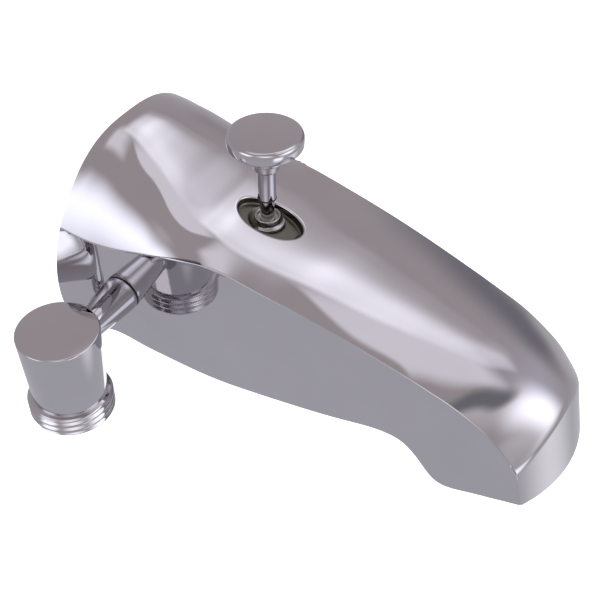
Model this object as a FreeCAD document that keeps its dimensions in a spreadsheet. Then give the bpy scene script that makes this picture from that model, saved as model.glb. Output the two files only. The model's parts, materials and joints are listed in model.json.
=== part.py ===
import FreeCAD, Part
import math
import os
import re
import Sketcher

# Bath spout with a lift diverter and a side outlet for a hand shower.
# Millimetres. The wall is the plane Y = 0, the spout points to -Y and +Z is up.
# The origin is the centre of the pipe inlet on the wall plane.

V = FreeCAD.Vector
Rot = FreeCAD.Rotation
doc = FreeCAD.newDocument("bath_spout")

# Driving sizes: alias, value
SIZES = [
    ("rim_radius", 32.8),          # round wall end of the cast shell
    ("shell_wall", 2.4),           # casting thickness
    ("half_width", 23.9),          # flat side to middle plane, measured at the wall
    ("side_taper", 0.05167),       # how much the half width shrinks per mm toward the nose
    ("nose_length", 124.6),        # wall to the front of the nose
    ("nose_bow", 5.3),             # how far the front bows out past its vertical corners
    ("plan_reach", 60.0),          # half size of the block that the nose outline is cut from
    ("plan_back", 5.0),            # how far that block stands behind the wall plane
    ("open_back", 2.0),            # how far the hollow runs out through the wall end
    ("ledge_drop", 0.5),           # small step under the edge of the top
    ("flare_length", 8.0),         # concave sweep from the round wall end to the flat sides
    ("tube_radius", 12.5),         # waterway casting
    ("bore_radius", 8.0),
    ("inlet_radius", 9.3),         # minor radius of the half inch female pipe thread
    ("inlet_depth", 14.0),
    ("inlet_relief", 1.6),         # undercut between the thread's end and the washer
    ("relief_step", 0.6),
    ("washer_thick", 1.2),
    ("lift_length", 40.6),         # wall to the axis of the lift rod
    ("lift_travel", 12.0),         # how far the knob lifts
    ("rod_radius", 1.75),
    ("rod_top", 34.0),
    ("running_gap", 0.05),
    ("knob_top", 41.0),
    ("knob_radius", 9.0),
    ("knob_face", 8.3),
    ("knob_shoulder", 40.2),
    ("knob_edge_low", 37.9),
    ("knob_under", 36.6),
    ("boss_radius", 4.5),
    ("boss_low", 32.2),
    ("shank_radius", 2.15),
    ("shank_start", 30.2),
    ("ring_top", 20.7),
    ("ring_thick", 0.5),
    ("ring_wide", 0.7),
    ("recess_level", 15.8),        # middle of the recess's floor
    ("bush_stand", 1.1),           # how far the bush stands out of that floor
    ("bush_long", 6.9),
    ("bush_wall", 2.1),            # rod's running hole to the outside of the bush
    ("flange_step", 0.4),
    ("bush_counter", 2.7),
    ("bush_counter_depth", 2.6),
    ("recess_long", 9.0),
    ("recess_wide", 5.2),
    ("recess_tilt", 12.0),
    ("recess_shift", 1.2),
    ("recess_depth", 14.0),
    ("boss_wall", 3.2),
    ("boss_gap", 0.1),
    ("flange_thick", 0.8),
    ("flange_gap", 0.25),          # round the bush's flange in the spot face
    ("flange_bed", 0.1),           # under the bush's flange
    ("over_cut", 1.0),             # how far a cutting tool runs past the face it opens
    ("long_cut", 30.0),
    ("short_cut", 12.0),
    ("house_wall_back", 2.5),      # walls of the gate housing round the gate's slot
    ("house_wall_front", 2.8),
    ("house_wall_side", 2.9),
    ("house_under", 3.4),          # recess floor to the top of the housing
    ("plug_long", 2.5),
    ("slot_behind", 2.6),          # rod axis to the slot's back wall
    ("slot_side_gap", 0.2),
    ("slot_top_gap", 0.7),
    ("slot_low_gap", 0.1),
    ("gate_radius", 6.4),
    ("gate_gap", 0.1),             # gate to the slot's back wall, and rubber face to the seat
    ("gate_over", 0.1),            # lifted gate's middle above the seat's
    ("rod_in_gate", 1.5),          # gate's middle to the rod's lower end
    ("gate_thick", 5.0),
    ("gate_pad", 1.0),
    ("seat_level", 2.4),
    ("seat_inner", 4.8),
    ("seat_wall", 2.4),
    ("plug_radius", 7.8),
    ("plug_step", 1.4),            # plug's head past its stem
    ("plug_head_thick", 0.5),
    ("plug_boss_wall", 2.4),
    ("plug_boss_high", 5.0),
    ("plug_gasket_thick", 0.4),
    ("rod_clear", 0.6),            # round the rod under the bush
    ("rod_seal_cord", 1.1),
    ("rod_seal_gap", 0.4),         # rubs on the real rod; drawn clear of it
    ("groove_gap", 0.1),
    ("rod_seal_lift", 2.0),        # bush's lower end to the middle of the seal
    ("outlet_reach", 47.24),       # middle plane to the axis of the hand shower outlet
    ("outlet_length", 12.82),      # wall to that axis
    ("cap_level", 3.44),
    ("cap_radius", 10.0),
    ("cap_thick", 4.04),
    ("cup_high", 19.74),
    ("thread_high", 6.2),
    ("cup_low_radius", 9.15),
    ("thread_radius", 10.48),      # half inch parallel thread, outside
    ("hose_bore", 7.2),
    ("arm_level", -4.07),
    ("arm_thin", 3.3),
    ("arm_wide", 4.9),
    ("arm_root", 7.0),             # outlet axis to the thin end of the arm's cone
    ("arm_gap", 0.1),              # arm's gasket to the flat side
    ("side_hole_back", 5.0),
    ("gasket_thick", 0.6),
    ("nipple_radius", 3.5),
    ("nipple_bore", 2.2),
    ("nipple_start", 16.5),
    ("nipple_gap", 0.2),
    ("nipple_hold", 2.62),         # how far the nipple goes into the side block
    ("port_length", 3.0),          # drilled on from the nipple's hole into the long passage
    ("seal_gap", 0.05),
    ("seal_cord", 0.65),
    ("seal_inset", 0.22),          # block's face to the seal
    ("block_half", 6.0),
    ("passage_wall", 4.1),         # block's face to the middle of the long passage
    ("passage_back", 3.82),        # outlet axis back to the start of the passage
    ("passage_long", 11.0),        # start of the passage to the cross hole
    ("passage_plug_length", 3.0),
    ("block_gap", 0.3),            # side block to the shell's inside
    ("block_behind", 7.82),        # outlet axis to the block's back
    ("block_ahead", 5.0),          # cross hole to the block's front
    ("block_root", 6.0),
]

# Sizes that follow from the driving ones: name, expression
DERIVED = [
    ("draft_angle", "atan(side_taper)"),
    ("corner_length", "nose_length - nose_bow"),
    ("relief_radius", "inlet_radius + relief_step"),
    ("side_at_arm", "half_width - side_taper * outlet_length"),
    ("arm_length", "(outlet_reach - side_at_arm) * cos(draft_angle) - gasket_thick - arm_gap"),
    ("cross_length", "outlet_length - passage_back + passage_long"),
    ("block_front", "cross_length + block_ahead"),
    ("block_back", "outlet_length - block_behind"),
    ("block_face", "half_width - shell_wall - side_taper * block_front - block_gap"),
    ("passage_offset", "block_face - passage_wall"),
    ("passage_start", "outlet_length - passage_back"),
    ("face_run", "(outlet_reach - block_face) / cos(draft_angle)"),
    ("seal_start", "face_run + seal_inset"),
    ("seal_ring", "nipple_radius + seal_gap + seal_cord"),
    ("nipple_end", "face_run + nipple_hold"),
    ("bush_radius", "rod_radius + running_gap + bush_wall"),
    ("bush_flange", "bush_radius + flange_step"),
    ("bush_top", "recess_level + bush_stand"),
    ("bush_bottom", "bush_top - bush_long"),
    ("rod_seal_half", "rod_seal_cord / 2"),
    ("rod_seal_ring", "rod_radius + rod_seal_gap + rod_seal_half"),
    ("groove_radius", "rod_seal_ring + rod_seal_half + groove_gap"),
    ("groove_half", "rod_seal_half + groove_gap"),
    ("ring_radius", "rod_radius + ring_wide"),
    ("house_top", "recess_level - house_under"),
    ("gate_level", "seat_level + gate_over - lift_travel"),
    ("slot_half", "gate_radius + slot_side_gap"),
    ("slot_top", "seat_level + gate_over + gate_radius + slot_top_gap"),
    ("slot_bottom", "gate_level - gate_radius - slot_low_gap"),
    ("slot_back", "lift_length - slot_behind"),
    ("gate_back", "slot_back + gate_gap"),
    ("slot_front", "gate_back + gate_thick + gate_pad + gate_gap"),
    ("house_half", "slot_half + house_wall_side"),
    ("house_back", "slot_back - house_wall_back"),
    ("house_front", "slot_front + house_wall_front"),
    ("house_bottom", "slot_bottom - plug_long"),
    ("plug_head", "plug_radius + plug_step"),
    ("plug_boss", "plug_radius + plug_boss_wall"),
    ("plug_low", "house_bottom - plug_gasket_thick - plug_head_thick"),
    ("seat_outer", "seat_inner + seat_wall"),
    ("rod_bottom", "gate_level + rod_in_gate"),
    ("cup_low", "cap_level - cup_high"),
    ("thread_low", "cup_low - thread_high"),
    ("hose_bore_top", "cap_level - cap_thick"),
]
sheet = doc.addObject("Spreadsheet::Sheet", "Sizes")
for row, (alias, value) in enumerate(SIZES, start=1):
    sheet.set("A%d" % row, alias)
    sheet.set("B%d" % row, str(value))
    sheet.setAlias("B%d" % row, alias)
doc.recompute()


def S(text):
    # Expression text with each size name pointing at the sheet.
    rules = dict(DERIVED)
    names = {alias for alias, value in SIZES}
    words = []
    for word in re.split(r"(\w+)", text):
        if word in rules:
            word = "(" + S(rules[word]) + ")"
        elif word in names:
            word = "Sizes." + word
        words.append(word)
    return "".join(words)


def size(name):
    # A driving size from the sheet, or one that follows from them.
    rules = dict(DERIVED)
    if name not in rules:
        return float(sheet.get(name))
    total = sheet.evalExpression(S(rules[name]).replace("Sizes.", ""))
    return float(getattr(total, "Value", total))


# Sections of the cast shell. Columns after the place along the spout:
# edge of the top, its level, ridge, roundness, lower corner level, belly,
# and for the inside: edge inset, edge lift and floor lift beyond the wall's thickness.
# Wall end: length from the wall; edge inset, ridge and belly measured in from the rim.
WALL_END = [
    (0.0, 3.9, 15.6, 0.0, 2.7, -22.3, 0.1, -0.1, 1.6, -0.1),
    (3.0, 4.0, 15.0, 0.3, 2.8, -20.6, 3.2, 0.5, 3.6, 0.0),
    (6.0, 4.2, 14.6, 1.0, 2.9, -19.9, 4.9, 0.9, 4.6, 0.0),
    (10.0, 4.6, 14.3, 2.4, 3.2, -19.9, 6.4, 1.2, 5.0, 0.0),
    (16.0, 5.5, 14.6, 5.1, 3.6, -20.9, 6.9, 1.4, 4.8, 0.0),
    (23.0, 7.0, 15.6, 8.5, 4.4, -21.6, 7.7, 1.5, 4.2, 0.0),
]
# Body: length from the wall; edge measured out from the flat side, ridge as a level.
BODY = [
    (31.0, 1.70, 16.6, 20.2, 4.6, -22.2, 2.5, 1.3, 2.0, 0.0),
    (40.0, 0.37, 17.1, 17.9, 3.4, -22.2, 2.0, 0.2, 0.2, 0.0),
    (50.0, 0.38, 15.5, 16.3, 3.0, -21.2, 1.6, 0.2, 0.0, 0.0),
]
# Straight run: share of the way from the body's last section to the nose's first.
RUN = [
    (0.333, 0.40, 13.2, 14.6, 2.8, -19.6, 1.3, 0.2, 0.0, 0.0),
    (0.694, 0.38, 10.1, 12.0, 2.7, -17.3, 1.1, 0.2, 0.0, 0.0),
]
# Nose: length back from its front.
NOSE = [
    (38.6, 0.34, 7.0, 9.6, 2.6, -15.7, 0.9, 0.2, 0.0, 0.0),
    (34.6, 0.35, 5.8, 8.7, 2.5, -16.7, 0.7, 0.2, 0.0, 0.4),
    (30.6, 0.36, 4.5, 7.8, 2.5, -20.2, 0.5, 0.2, 0.0, 0.8),
    (26.6, 0.36, 3.2, 6.9, 2.4, -24.7, 0.4, 0.2, 0.0, 1.7),
    (22.6, 0.37, 1.6, 5.9, 2.4, -25.8, 0.3, 0.2, 0.0, -4.2),
    (17.6, 0.33, -1.2, 4.4, 2.3, -24.6, 0.3, 0.2, 0.0, -6.4),
    (12.6, 0.29, -4.9, 2.3, 2.3, -23.3, 0.3, 0.2, 0.0, -8.1),
    (7.6, 0.33, -10.9, -1.2, 2.3, -22.0, 0.3, 0.2, 0.3, -9.4),
    (2.6, 0.30, -16.6, -6.4, 2.3, -20.8, 0.3, 0.2, 1.0, -10.6),
    (-2.4, 0.26, -18.6, -14.6, 2.3, -19.7, 0.3, 0.2, 0.6, -11.7),
]
TOP_POINTS = 17
SIDE_POINTS = 7


def curve(points):
    spline = Part.BSplineCurve()
    spline.interpolate([V(*p) for p in points])
    return spline.toShape()


def side_at(length):
    return size("half_width") - size("side_taper") * max(length, 0.0)


def stations():
    # Every section with its true length, edge, ridge and belly.
    rim = size("rim_radius")
    rows = []
    for length, inset, edge_z, drop, power, low_z, lift, *inside in WALL_END:
        belly = rim + low_z - lift
        rows.append((length, rim - inset, edge_z, rim - drop, power, low_z, belly, *inside))
    last = BODY[-1][0]
    run = size("nose_length") - NOSE[0][0] - last
    along = [(row[0], row) for row in BODY]
    along += [(last + run * row[0], row) for row in RUN]
    along += [(size("nose_length") - row[0], row) for row in NOSE]
    for length, row in along:
        rows.append((length, side_at(length) + row[1], *row[2:]))
    return rows


def section_wire(row, inner):
    # One closed outline across the spout: top arc, ledge, side, belly, side, ledge.
    length, edge_x, edge_z, ridge_z, power, low_z, belly, in_inset, in_lift, in_floor = row
    wall = size("shell_wall")
    half = side_at(length)
    if inner:
        edge_x = edge_x - wall - in_inset
        edge_z = edge_z - wall + in_lift
        low_z = low_z + wall + in_floor
        ridge_z = ridge_z - wall
        half = half - wall
    y = -length
    rise = ridge_z - edge_z
    top = []
    for k in range(TOP_POINTS):
        turn = -90.0 + 180.0 * k / (TOP_POINTS - 1)
        part = math.sin(math.radians(turn))
        top.append((edge_x * part, y, edge_z + rise * (1.0 - abs(part) ** power)))
    fade = max(0.0, 1.0 - max(length, 0.0) / size("flare_length")) ** 2.4
    radius = size("rim_radius") - (wall if inner else 0.0)
    side_top = edge_z - size("ledge_drop")
    side = []
    for k in range(SIDE_POINTS):
        z = side_top + (low_z - side_top) * k / (SIDE_POINTS - 1)
        round_x = math.sqrt(max(radius * radius - z * z, 1.0))
        side.append((half + (round_x - half) * fade, y, z))
    foot = side[-1][0]
    under = []
    for k in range(9):
        part = 1.0 - 2.0 * k / 8.0
        under.append((foot * part, y, low_z - belly * (1.0 - part * part)))
    mirror = [(-x, yy, z) for x, yy, z in reversed(side)]
    edges = [
        curve(top),
        Part.LineSegment(V(*top[-1]), V(*side[0])).toShape(),
        curve(side),
        curve(under),
        curve(mirror),
        Part.LineSegment(V(*mirror[-1]), V(*top[0])).toShape(),
    ]
    return Part.Wire(edges)


def shell_solid(rows, inner):
    return Part.makeLoft([section_wire(row, inner) for row in rows], True, False)


def plan_prism(inset):
    # Plan outline of the nose: straight sides and a shallow bow at the front.
    reach = size("plan_reach")
    back = size("plan_back")
    corner = size("corner_length") - inset
    front = size("nose_length") - inset
    half = size("half_width") - size("side_taper") * corner - inset
    right = V(half, -corner, -reach)
    middle = V(0, -front, -reach)
    left = V(-half, -corner, -reach)
    wide = [left, V(-reach, -corner, -reach), V(-reach, back, -reach), V(reach, back, -reach),
            V(reach, -corner, -reach), right]
    straight = Part.makePolygon(wide)
    bow = Part.Arc(right, middle, left).toShape()
    outline = Part.Wire(straight.Edges + [bow])
    return Part.Face(outline).extrude(V(0, 0, 2 * reach))


outer = doc.addObject("Part::Feature", "shell_outer")
ROWS = stations()
outer.Shape = shell_solid(ROWS, False)
inner = doc.addObject("Part::Feature", "shell_inner")
first = ROWS[0]
open_end = (-size("open_back"),) + first[1:]
inner.Shape = shell_solid([open_end] + ROWS, True)
plan_outer = doc.addObject("Part::Feature", "nose_outline")
plan_outer.Shape = plan_prism(0.0)
plan_inner = doc.addObject("Part::Feature", "nose_outline_inner")
plan_inner.Shape = plan_prism(size("shell_wall"))


def place(obj, x="0", y="0", z="0", rotation=None):
    obj.Placement = FreeCAD.Placement(V(0, 0, 0), rotation or Rot())
    obj.setExpression("Placement.Base.x", x)
    obj.setExpression("Placement.Base.y", y)
    obj.setExpression("Placement.Base.z", z)
    return obj


TO_NOSE = Rot(V(1, 0, 0), 90)          # local Z along -Y
ALONG_ARM = Rot(V(0, 0, 1), size("draft_angle")) * Rot(V(0, 1, 0), 90)


def cylinder(name, radius, height, x="0", y="0", z="0", rotation=None):
    obj = doc.addObject("Part::Cylinder", name)
    obj.setExpression("Radius", radius)
    obj.setExpression("Height", height)
    return place(obj, x, y, z, rotation)


def cone(name, radius1, radius2, height, x="0", y="0", z="0", rotation=None):
    obj = doc.addObject("Part::Cone", name)
    obj.setExpression("Radius1", radius1)
    obj.setExpression("Radius2", radius2)
    obj.setExpression("Height", height)
    return place(obj, x, y, z, rotation)


def box(name, length, width, height, x, y, z):
    obj = doc.addObject("Part::Box", name)
    obj.setExpression("Length", length)
    obj.setExpression("Width", width)
    obj.setExpression("Height", height)
    return place(obj, x, y, z)


def fuse(name, parts):
    obj = doc.addObject("Part::MultiFuse", name)
    obj.Shapes = parts
    obj.Refine = False
    return obj


def cut(name, base, tool):
    obj = doc.addObject("Part::Cut", name)
    obj.Base = base
    obj.Tool = tool
    obj.Refine = False
    return obj


def common(name, base, tool):
    obj = doc.addObject("Part::Common", name)
    obj.Base = base
    obj.Tool = tool
    obj.Refine = False
    return obj


NODES = []


def keep(obj, label):
    obj.Label = label
    NODES.append(obj)
    return obj


# Cast shell: outer form less the hollow, with the recess, the lift hole and the side hole.
body_outer = common("shell_body", outer, plan_outer)
body_inner = common("shell_hollow", inner, plan_inner)
shell_cast = cut("shell_cast", body_outer, body_inner)
inner_boss = cylinder("shell_boss", S("bush_radius + boss_wall"),
                      S("recess_level - house_top - 2 * boss_gap"),
                      "0", S("-lift_length"), S("house_top + boss_gap"))
shell_bossed = fuse("shell_bossed", [shell_cast, inner_boss])
oval = doc.addObject("Part::Ellipse", "recess_outline")
oval.setExpression("MajorRadius", S("recess_long"))
oval.setExpression("MinorRadius", S("recess_wide"))
place(oval, "0", S("-lift_length - recess_shift"), S("recess_level"),
      Rot(V(1, 0, 0), size("recess_tilt")) * Rot(V(0, 0, 1), 90))
recess = doc.addObject("Part::Extrusion", "recess_cut")
recess.Base = oval
recess.DirMode = "Normal"
recess.setExpression("LengthFwd", S("recess_depth"))
recess.Solid = True
lift_hole = cylinder("lift_hole", S("bush_radius"), S("long_cut"), "0", S("-lift_length"), "0")
flange_seat = cylinder("flange_seat", S("bush_flange + flange_gap"), S("short_cut"),
                       "0", S("-lift_length"), S("bush_top - flange_thick - flange_bed"))
side_hole = cylinder("side_hole", S("nipple_radius + nipple_gap"), S("short_cut"),
                     S("-outlet_reach + (arm_length - side_hole_back) * cos(draft_angle)"),
                     S("-outlet_length + (arm_length - side_hole_back) * sin(draft_angle)"),
                     S("arm_level"), ALONG_ARM)
shell_holes = fuse("shell_holes", [recess, lift_hole, flange_seat, side_hole])
spout_shell = keep(cut("spout_shell", shell_bossed, shell_holes), "spout_shell")

# Waterway casting: tube, gate housing and side block.
tube = cylinder("tube_body", S("tube_radius"), S("house_back + over_cut"), "0", "0", "0", TO_NOSE)
house = box("house_body", S("2 * house_half"), S("house_front - house_back"),
            S("house_top - house_bottom"), S("-house_half"), S("-house_front"), S("house_bottom"))
block = box("side_block", S("block_face - block_root"), S("block_front - block_back"),
            S("2 * block_half"), S("-block_face"), S("-block_front"), S("arm_level - block_half"))
plug_boss = cylinder("plug_boss_body", S("plug_boss"), S("plug_boss_high"), "0",
                     S("-lift_length"), S("house_bottom"))
valve_solid = fuse("valve_solid", [tube, house, block, plug_boss])
inlet_bore = cylinder("inlet_bore", S("inlet_radius"), S("inlet_depth"), "0", "0", "0", TO_NOSE)
inlet_undercut = cylinder("inlet_undercut", S("relief_radius"), S("inlet_relief + washer_thick"),
                          "0", S("-inlet_depth"), "0", TO_NOSE)
main_bore = cylinder("main_bore", S("bore_radius"), S("slot_back + over_cut"), "0", "0", "0", TO_NOSE)
gate_slot = box("gate_slot", S("2 * slot_half"), S("slot_front - slot_back"),
                S("slot_top - slot_bottom"), S("-slot_half"), S("-slot_front"), S("slot_bottom"))
seat_bore = cylinder("seat_bore", S("seat_outer"), S("house_front - slot_front + over_cut"),
                     "0", S("-slot_front"), S("seat_level"), TO_NOSE)
bush_bore = cylinder("bush_bore", S("bush_radius"), S("house_top - bush_bottom + over_cut"),
                     "0", S("-lift_length"), S("bush_bottom"))
rod_bore = cylinder("rod_bore", S("rod_radius + rod_clear"), S("short_cut / 2"),
                    "0", S("-lift_length"), S("slot_top - over_cut"))
plug_bore = cylinder("plug_bore", S("plug_radius"), S("slot_bottom - house_bottom + over_cut"),
                     "0", S("-lift_length"), S("house_bottom - over_cut"))
nipple_bore_hole = cylinder("nipple_hole", S("nipple_radius"), S("nipple_end - arm_length"),
                            S("-outlet_reach + arm_length * cos(draft_angle)"),
                            S("-outlet_length + arm_length * sin(draft_angle)"),
                            S("arm_level"), ALONG_ARM)
port_hole = cylinder("port_hole", S("nipple_bore"), S("port_length"),
                     S("-outlet_reach + nipple_end * cos(draft_angle)"),
                     S("-outlet_length + nipple_end * sin(draft_angle)"),
                     S("arm_level"), ALONG_ARM)
passage = cylinder("passage", S("nipple_bore"), S("block_front - passage_start"),
                   S("-passage_offset"), S("-passage_start"), S("arm_level"), TO_NOSE)
cross_hole = cylinder("cross_hole", S("nipple_bore"), S("passage_offset"),
                      S("-passage_offset"), S("-cross_length"), S("arm_level"),
                      Rot(V(0, 1, 0), 90))
seal_seat = cylinder("seal_seat", S("seal_ring + seal_cord"),
                     S("2 * seal_cord + short_cut / 2"),
                     S("-outlet_reach + (seal_start - short_cut / 2) * cos(draft_angle)"),
                     S("-outlet_length + (seal_start - short_cut / 2) * sin(draft_angle)"),
                     S("arm_level"), ALONG_ARM)
valve_holes = fuse("valve_holes", [
    inlet_bore,
    inlet_undercut,
    main_bore,
    gate_slot,
    seat_bore,
    bush_bore,
    rod_bore,
    plug_bore,
    nipple_bore_hole,
    port_hole,
    passage,
    cross_hole,
    seal_seat,
])
valve_body = keep(cut("valve_body", valve_solid, valve_holes), "valve_body")

keep(cylinder("passage_plug", S("nipple_bore"), S("passage_plug_length"), S("-passage_offset"),
              S("-block_front + passage_plug_length"), S("arm_level"), TO_NOSE), "passage_plug")


def ring_piece(name, outer_radius, inner_radius, height, x, y, z, rotation=None):
    disc = cylinder(name + "_disc", outer_radius, height, x, y, z, rotation)
    hole = cylinder(name + "_hole", inner_radius, height, x, y, z, rotation)
    return keep(cut(name, disc, hole), name)


# Rubber washer that the wall pipe tightens against, at the end of the female thread.
ring_piece("inlet_washer", S("relief_radius"), S("bore_radius"), S("washer_thick"),
           "0", S("-inlet_depth - inlet_relief"), "0", TO_NOSE)

# Brass seat that the gate covers when it is lifted.
ring_piece("gate_seat", S("seat_outer"), S("seat_inner"), S("house_front - slot_front"),
           "0", S("-slot_front"), S("seat_level"), TO_NOSE)

# Plug that closes the gate housing from below, with its gasket.
plug_stem = cylinder("plug_stem", S("plug_radius"), S("slot_bottom - house_bottom"),
                     "0", S("-lift_length"), S("house_bottom"))
plug_cap = cylinder("plug_cap", S("plug_head"), S("house_bottom - plug_gasket_thick - plug_low"),
                    "0", S("-lift_length"), S("plug_low"))
plug_neck = cylinder("plug_neck", S("plug_radius"), S("plug_gasket_thick"),
                     "0", S("-lift_length"), S("house_bottom - plug_gasket_thick"))
keep(fuse("chamber_plug", [plug_stem, plug_neck, plug_cap]), "chamber_plug")
ring_piece("plug_gasket", S("plug_head"), S("plug_radius"), S("plug_gasket_thick"),
           "0", S("-lift_length"), S("house_bottom - plug_gasket_thick"))

# Guide bush for the lift rod, seen as the round boss in the recess.
bush_stem = cylinder("bush_stem", S("bush_radius"), S("bush_top - bush_bottom"),
                     "0", S("-lift_length"), S("bush_bottom"))
bush_rim = cylinder("bush_rim", S("bush_flange"), S("flange_thick"), "0", S("-lift_length"),
                    S("bush_top - flange_thick"))
bush_solid = fuse("bush_solid", [bush_stem, bush_rim])
bush_hole = cylinder("bush_hole", S("rod_radius + running_gap"), S("long_cut"),
                     "0", S("-lift_length"), "0")
bush_wide = cylinder("bush_wide", S("bush_counter"), S("bush_counter_depth + over_cut"),
                     "0", S("-lift_length"), S("bush_top - bush_counter_depth"))
seal_groove = cylinder("seal_groove", S("groove_radius"), S("2 * groove_half"),
                       "0", S("-lift_length"), S("bush_bottom + rod_seal_lift - groove_half"))
bush_voids = fuse("bush_voids", [bush_hole, bush_wide, seal_groove])
keep(cut("guide_bush", bush_solid, bush_voids), "guide_bush")
ring_piece("rod_seal", S("rod_seal_ring + rod_seal_half"), S("rod_seal_ring - rod_seal_half"),
           S("rod_seal_cord"), "0", S("-lift_length"),
           S("bush_bottom + rod_seal_lift - rod_seal_half"))

# Diverter gate with its rubber face; it hangs on the lift rod.
gate_disc = cylinder("gate_disc", S("gate_radius"), S("gate_thick"), "0", S("-gate_back"),
                     S("gate_level"), TO_NOSE)
gate_hole = cylinder("gate_hole", S("rod_radius"), S("long_cut"), "0", S("-lift_length"),
                     S("rod_bottom"))
keep(cut("diverter_gate", gate_disc, gate_hole), "diverter_gate")
keep(cylinder("gate_washer", S("gate_radius"), S("gate_pad"), "0", S("-gate_back - gate_thick"),
              S("gate_level"), TO_NOSE), "gate_washer")
keep(cylinder("lift_rod", S("rod_radius"), S("rod_top - rod_bottom"), "0", S("-lift_length"),
              S("rod_bottom")), "lift_rod")
ring_piece("knob_ring", S("ring_radius"), S("rod_radius"), S("ring_thick"),
           "0", S("-lift_length"), S("ring_top - ring_thick"))

# Knob: one turned piece, drawn as half a profile and revolved about the rod.
knob = doc.addObject("PartDesign::Body", "knob")


def plane_of(body, role):
    for feature in body.Origin.OriginFeatures:
        if feature.Role == role:
            return feature


profile = knob.newObject("Sketcher::SketchObject", "knob_profile")
profile.AttachmentSupport = [(plane_of(knob, "XZ_Plane"), "")]
profile.MapMode = "FlatFace"
corners = [
    ("rod_radius", "ring_top"),
    ("shank_radius", "ring_top"),
    ("shank_radius", "shank_start"),
    ("boss_radius", "boss_low"),
    ("boss_radius", "knob_under"),
    ("knob_radius", "knob_edge_low"),
    ("knob_radius", "knob_shoulder"),
    ("knob_face", "knob_top"),
    ("axis", "knob_top"),
    ("axis", "rod_top"),
    ("rod_radius", "rod_top"),
]
spots = [(0.0 if a == "axis" else size(a), size(b)) for a, b in corners]
lines = []
for k in range(len(spots)):
    p, q = spots[k], spots[(k + 1) % len(spots)]
    lines.append(profile.addGeometry(Part.LineSegment(V(p[0], p[1], 0), V(q[0], q[1], 0)), False))
for k in range(len(spots)):
    profile.addConstraint(Sketcher.Constraint("Coincident", lines[k], 2,
                                              lines[(k + 1) % len(spots)], 1))
for k, (a, b) in enumerate(corners):
    if a == "axis":
        profile.addConstraint(Sketcher.Constraint("PointOnObject", lines[k], 1, -2))
    else:
        n = profile.addConstraint(Sketcher.Constraint("DistanceX", -1, 1, lines[k], 1, spots[k][0]))
        profile.setExpression("Constraints[%d]" % n, S(a))
    n = profile.addConstraint(Sketcher.Constraint("DistanceY", -1, 1, lines[k], 1, spots[k][1]))
    profile.setExpression("Constraints[%d]" % n, S(b))
doc.recompute()
turned = knob.newObject("PartDesign::Revolution", "knob_turned")
turned.Profile = profile
turned.ReferenceAxis = (profile, ["V_Axis"])
turned.Angle = 360.0
knob.setExpression("Placement.Base.y", S("-lift_length"))
doc.recompute()
keep(knob, "knob")

# Hand shower outlet: cup, neck, threaded end and arm cast in one.
cup = cone("outlet_cup", S("cup_low_radius"), S("cap_radius"), S("cap_level - cup_low"),
           S("-outlet_reach"), S("-outlet_length"), S("cup_low"))
threaded = cylinder("outlet_thread", S("thread_radius"), S("cup_low - thread_low"),
                    S("-outlet_reach"), S("-outlet_length"), S("thread_low"))
arm = cone("outlet_arm", S("arm_thin"), S("arm_wide"), S("arm_length - arm_root"),
           S("-outlet_reach + arm_root * cos(draft_angle)"),
           S("-outlet_length + arm_root * sin(draft_angle)"), S("arm_level"), ALONG_ARM)
outlet_solid = fuse("outlet_solid", [cup, threaded, arm])
hose_hole = cylinder("hose_hole", S("hose_bore"), S("hose_bore_top - thread_low + over_cut"),
                     S("-outlet_reach"), S("-outlet_length"), S("thread_low - over_cut"))
arm_hole = cylinder("arm_hole", S("nipple_bore"), S("arm_length"),
                    S("-outlet_reach"), S("-outlet_length"), S("arm_level"), ALONG_ARM)
arm_socket = cylinder("arm_socket", S("nipple_radius"), S("arm_length - nipple_start + over_cut"),
                      S("-outlet_reach + nipple_start * cos(draft_angle)"),
                      S("-outlet_length + nipple_start * sin(draft_angle)"),
                      S("arm_level"), ALONG_ARM)
outlet_voids = fuse("outlet_voids", [hose_hole, arm_hole, arm_socket])
keep(cut("outlet_elbow", outlet_solid, outlet_voids), "outlet_elbow")

# Gasket between the arm and the flat side, and the nipple that clamps the arm.
ring_piece("side_gasket", S("arm_wide"), S("nipple_radius"), S("gasket_thick"),
           S("-outlet_reach + arm_length * cos(draft_angle)"),
           S("-outlet_length + arm_length * sin(draft_angle)"), S("arm_level"), ALONG_ARM)
ring_piece("arm_nipple", S("nipple_radius"), S("nipple_bore"), S("nipple_end - nipple_start"),
           S("-outlet_reach + nipple_start * cos(draft_angle)"),
           S("-outlet_length + nipple_start * sin(draft_angle)"), S("arm_level"), ALONG_ARM)
ring_piece("nipple_seal", S("seal_ring + seal_cord"), S("seal_ring - seal_cord"), S("2 * seal_cord"),
           S("-outlet_reach + seal_start * cos(draft_angle)"),
           S("-outlet_length + seal_start * sin(draft_angle)"), S("arm_level"), ALONG_ARM)

doc.recompute()
for obj in doc.Objects:
    if "Invalid" in obj.State or "Error" in obj.State:
        raise RuntimeError("feature failed: " + obj.Name)
os.makedirs("parts", exist_ok=True)
for obj in NODES:
    shape = obj.Shape
    if shape.isNull() or not shape.isValid():
        raise RuntimeError("bad shape: " + obj.Label)
    print(obj.Label, len(shape.Solids), round(shape.Volume, 1))
    shape.exportStep("parts/" + obj.Label + ".step")
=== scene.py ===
import json
import math

import bmesh
import bpy
import numpy as np
from mathutils import Matrix, Vector
from mathutils.bvhtree import BVHTree


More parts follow.
